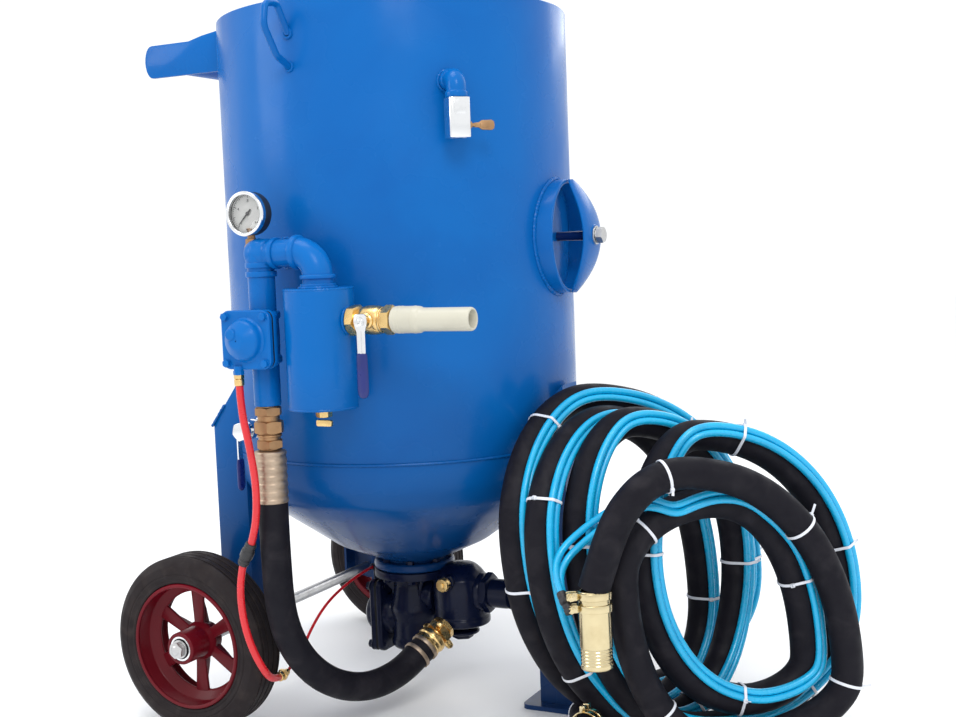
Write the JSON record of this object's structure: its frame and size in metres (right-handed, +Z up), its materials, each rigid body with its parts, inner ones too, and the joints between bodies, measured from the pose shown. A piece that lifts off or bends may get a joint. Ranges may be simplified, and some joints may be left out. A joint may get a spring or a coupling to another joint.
{
  "type": "portable abrasive blast pot",
  "caption": "Upright blast pot on wheels: blue pressure tank with push handle, hand hole, air inlet pipework with gauge, abrasive valve, and a coil of blast hose.",
  "frame": {"origin": "middle of the footprint of the pot on its wheels and foot, on the floor, without the loose hose", "axes": "+Z up, +X to the hand hole and front leg, -X to the wheels and push handle, -Y to the air inlet"},
  "size_m": [1.2731, 0.831, 1.196],
  "materials": {
    "blue_paint": "gloss enamel",
    "dark_blue_paint": "gloss enamel",
    "red_paint": "gloss enamel",
    "tyre_rubber": "matt",
    "steel": "zinc plated",
    "brass": "satin",
    "chrome": "satin",
    "blue_sleeve": "dipped vinyl",
    "adapter_zinc": "dull zinc",
    "black_rubber": "matt",
    "red_hose": "smooth",
    "white_dial": "printed",
    "black_plastic": "matt",
    "clear_glass": "clear"
  },
  "bodies": {
    "pot": {"tank_shell": "blue_paint", "tank_top_head": "blue_paint", "tank_bottom_head": "blue_paint", "lifting_lugs": "blue_paint", "push_handle": "blue_paint", "wheel_legs": "blue_paint", "front_leg": "blue_paint", "riser_pipe": "blue_paint", "crossover_elbow": "blue_paint", "separator_body": "blue_paint", "remote_valve_body": "blue_paint", "remote_valve_bonnet": "blue_paint", "vent_elbow": "blue_paint", "blowdown_valve_body": "blue_paint", "hand_hole_neck": "blue_paint", "hand_hole_cover": "blue_paint", "air_guide_pipe": "blue_paint", "abrasive_valve_body": "dark_blue_paint", "abrasive_valve_bonnet": "dark_blue_paint", "mixing_tee": "dark_blue_paint", "axle": "steel", "valve_bolts": "steel", "separator_filter": "steel", "hose_clamps": "steel", "inlet_valve_body": "brass", "control_fittings": "brass", "hose_end_fittings": "brass", "nozzle_holder": "brass", "claw_coupling": "brass", "vent_valve_body": "chrome", "gauge_case": "chrome", "inlet_adapter": "adapter_zinc", "air_hose": "black_rubber", "blast_hose_coil": "black_rubber", "tank_seals": "black_rubber", "valve_diaphragms": "black_rubber", "control_hoses": "red_hose", "gauge_dial": "white_dial", "gauge_lens": "clear_glass"},
    "near_wheel": {"wheel_rim_near": "red_paint", "tyre_near": "tyre_rubber", "wheel_bearings_near": "steel"},
    "far_wheel": {"wheel_rim_far": "red_paint", "tyre_far": "tyre_rubber", "wheel_bearings_far": "steel"},
    "inlet_handle": {"inlet_valve_ball": "chrome", "inlet_lever": "chrome", "inlet_lever_sleeve": "blue_sleeve"},
    "blowdown_handle": {"blowdown_lever": "chrome"},
    "vent_handle": {"vent_key": "chrome"},
    "pointer": {"gauge_needle": "black_plastic"},
    "popup": {"popup_valve": "steel"},
    "yoke": {"hand_hole_yoke": "blue_paint"},
    "yoke_nut": {"hand_hole_nut": "steel"},
    "drain_plug": {"separator_drain": "blue_paint"},
    "cleanout": {"cleanout_plug": "dark_blue_paint"},
    "metering_dial": {"metering_knob": "brass"},
    "metering_rod": {"metering_plunger": "steel"},
    "air_piston": {"remote_valve_piston": "steel"},
    "grit_piston": {"abrasive_valve_piston": "steel"}
  },
  "joints": [
    {"name": "near_wheel_spin", "type": "hinge", "parent": "pot", "child": "near_wheel", "pos_m": [-0.2165, -0.3065, 0.15], "axis": [0, 1, 0], "continuous": true},
    {"name": "far_wheel_spin", "type": "hinge", "parent": "pot", "child": "far_wheel", "pos_m": [-0.2165, 0.3535, 0.15], "axis": [0, 1, 0], "continuous": true},
    {"name": "inlet_valve_turn", "type": "hinge", "parent": "pot", "child": "inlet_handle", "pos_m": [0.1785, -0.3405, 0.693], "axis": [0, -1, 0], "range_deg": [0, 90]},
    {"name": "blowdown_turn", "type": "hinge", "parent": "pot", "child": "blowdown_handle", "pos_m": [-0.0975, -0.29275, 0.512], "axis": [-1, 0, 0], "range_deg": [0, 90]},
    {"name": "vent_turn", "type": "hinge", "parent": "pot", "child": "vent_handle", "pos_m": [0.26867, -0.21616, 0.983], "axis": [0.6947, 0.7193, 0], "range_deg": [0, 90]},
    {"name": "pointer_swing", "type": "hinge", "parent": "pot", "child": "pointer", "pos_m": [-0.0375, -0.3475, 0.861], "axis": [0, 1, 0], "range_deg": [0, 270]},
    {"name": "popup_lift", "type": "slide", "parent": "pot", "child": "popup", "axis": [0, 0, 1], "range_m": [0, 0.03]},
    {"name": "yoke_turn", "type": "hinge", "parent": "pot", "child": "yoke", "pos_m": [0.3855, 0.0235, 0.808], "axis": [1, 0, 0], "range_deg": [-90, 90]},
    {"name": "yoke_nut_turn", "type": "hinge", "parent": "pot", "child": "yoke_nut", "pos_m": [0.4005, 0.0235, 0.808], "axis": [1, 0, 0], "continuous": true},
    {"name": "drain_turn", "type": "hinge", "parent": "pot", "child": "drain_plug", "pos_m": [0.0825, -0.3405, 0.545], "axis": [0, 0, 1], "range_deg": [0, 720]},
    {"name": "cleanout_turn", "type": "hinge", "parent": "pot", "child": "cleanout", "pos_m": [0.1145, 0.0235, 0.11], "axis": [0, 0, 1], "continuous": true},
    {"name": "metering_turn", "type": "hinge", "parent": "pot", "child": "metering_dial", "pos_m": [0.1145, -0.0415, 0.208], "axis": [0, -1, 0], "range_deg": [0, 720]},
    {"name": "metering_slide", "type": "slide", "parent": "pot", "child": "metering_rod", "axis": [0, -1, 0], "range_m": [0, 0.0081]},
    {"name": "air_piston_slide", "type": "slide", "parent": "pot", "child": "air_piston", "axis": [0, -1, 0], "range_m": [0, 0.008]},
    {"name": "grit_piston_slide", "type": "slide", "parent": "pot", "child": "grit_piston", "axis": [-1, 0, 0], "range_m": [0, 0.01]}
  ],
  "couplings": [
    {"joint": "metering_slide", "follows": "metering_turn", "m_per_rad": 0.00063662}
  ]
}
